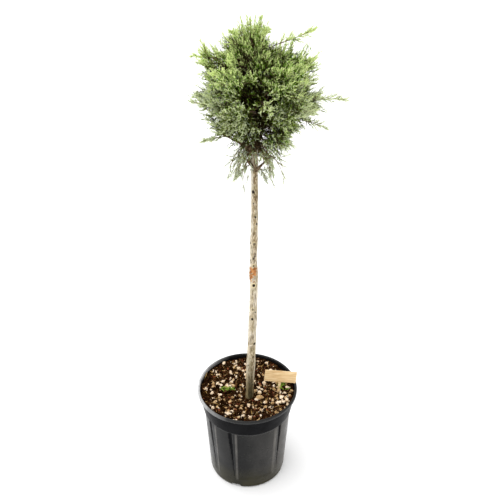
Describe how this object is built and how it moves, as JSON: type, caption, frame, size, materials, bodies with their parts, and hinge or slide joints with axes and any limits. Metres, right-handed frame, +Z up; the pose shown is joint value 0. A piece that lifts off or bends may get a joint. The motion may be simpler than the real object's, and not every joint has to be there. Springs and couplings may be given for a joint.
{
  "type": "half-standard juniper in a nursery pot",
  "caption": "Loosely grown lollipop topiary: a fine-leaved conifer head on one slim bare stem, in a tapered plastic pot with gritty potting mix and a blank wooden label.",
  "frame": {"origin": "centre of the pot's flat underside", "axes": "+Z up along the stem, -Y towards the front of the plant, +X to the right as seen from the front"},
  "size_m": [0.308, 0.2546, 1.1529],
  "materials": {
    "pot_plastic": "moulded, scuffed, half matt",
    "potting_mix": "loose bark and peat with pale pumice grit",
    "label_wood": "thin bare plywood, sanded",
    "stem_bark": "pale smooth bark with scars and knots",
    "bough_bark": "flaky brown bark",
    "foliage_dark": "fine scale leaves, matt",
    "foliage_mid": "fine scale leaves, matt",
    "foliage_light": "fine scale leaves, young growth"
  },
  "bodies": {
    "root": {"pot": "pot_plastic", "potting_mix": "potting_mix", "plant_label": "label_wood", "trunk": "stem_bark", "foliage_skirt_1": "foliage_dark", "foliage_skirt_2": "foliage_dark", "foliage_skirt_3": "foliage_dark", "foliage_lower_1": "foliage_dark", "foliage_lower_2": "foliage_dark", "foliage_lower_3": "foliage_dark", "foliage_lower_4": "foliage_dark", "foliage_middle_1": "foliage_mid", "foliage_middle_2": "foliage_mid", "foliage_middle_3": "foliage_mid", "foliage_middle_4": "foliage_mid", "foliage_middle_5": "foliage_mid", "foliage_upper_1": "foliage_light", "foliage_upper_2": "foliage_light", "foliage_upper_3": "foliage_light", "foliage_upper_4": "foliage_light", "foliage_upper_5": "foliage_light", "foliage_leader": "foliage_light", "bough_skirt_1": "bough_bark", "bough_skirt_2": "bough_bark", "bough_skirt_3": "bough_bark", "bough_lower_1": "bough_bark", "bough_lower_2": "bough_bark", "bough_lower_3": "bough_bark", "bough_lower_4": "bough_bark", "bough_middle_1": "bough_bark", "bough_middle_2": "bough_bark", "bough_middle_3": "bough_bark", "bough_middle_4": "bough_bark", "bough_middle_5": "bough_bark", "bough_upper_1": "bough_bark", "bough_upper_2": "bough_bark", "bough_upper_3": "bough_bark", "bough_upper_4": "bough_bark", "bough_upper_5": "bough_bark", "shoot_right_long": "foliage_light", "shoot_right_low": "foliage_light", "shoot_upper_right": "foliage_light", "shoot_upper_left": "foliage_light", "shoot_left": "foliage_light", "shoot_left_low": "foliage_light", "shoot_top_left": "foliage_light", "shoot_top_right": "foliage_light", "shoot_front": "foliage_light", "shoot_back_left": "foliage_light", "shoot_back_right": "foliage_light", "shoot_hanging_right": "foliage_light", "shoot_hanging_left": "foliage_light"}
  },
  "joints": []
}
